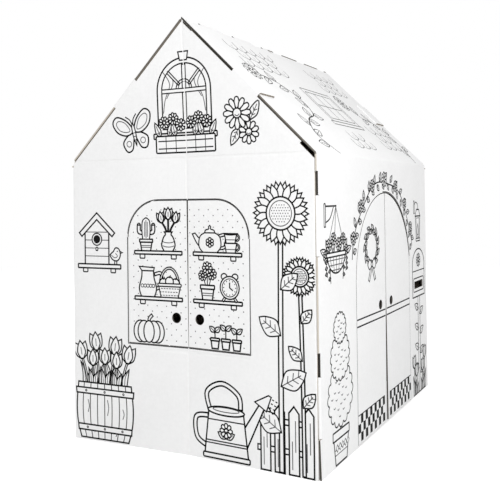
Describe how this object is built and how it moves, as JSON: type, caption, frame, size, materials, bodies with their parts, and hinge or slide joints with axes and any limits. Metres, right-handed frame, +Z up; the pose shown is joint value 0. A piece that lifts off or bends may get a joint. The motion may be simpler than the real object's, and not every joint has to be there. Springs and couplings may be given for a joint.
{
  "type": "cardboard playhouse",
  "caption": "Small gabled playhouse folded from two sheets of printed corrugated board, with shutters, arched double doors, letter slots and tab-and-slot joints.",
  "frame": {"origin": "middle of the footprint, on the floor", "axes": "+Z up; the front gable faces -Y; +X is the right-hand wall seen from the front, which has the doors that the picture shows"},
  "size_m": [0.689, 0.813, 1.0267],
  "materials": {
    "board": "matt white liner with dark line print outside, plain brown-grey liner inside, raw fluted edges",
    "ink": "matt black and grey printing ink, a few thousandths of a millimetre thick"
  },
  "bodies": {
    "root": {"front_and_left_sheet": "board", "back_and_right_sheet": "board"}
  },
  "joints": []
}
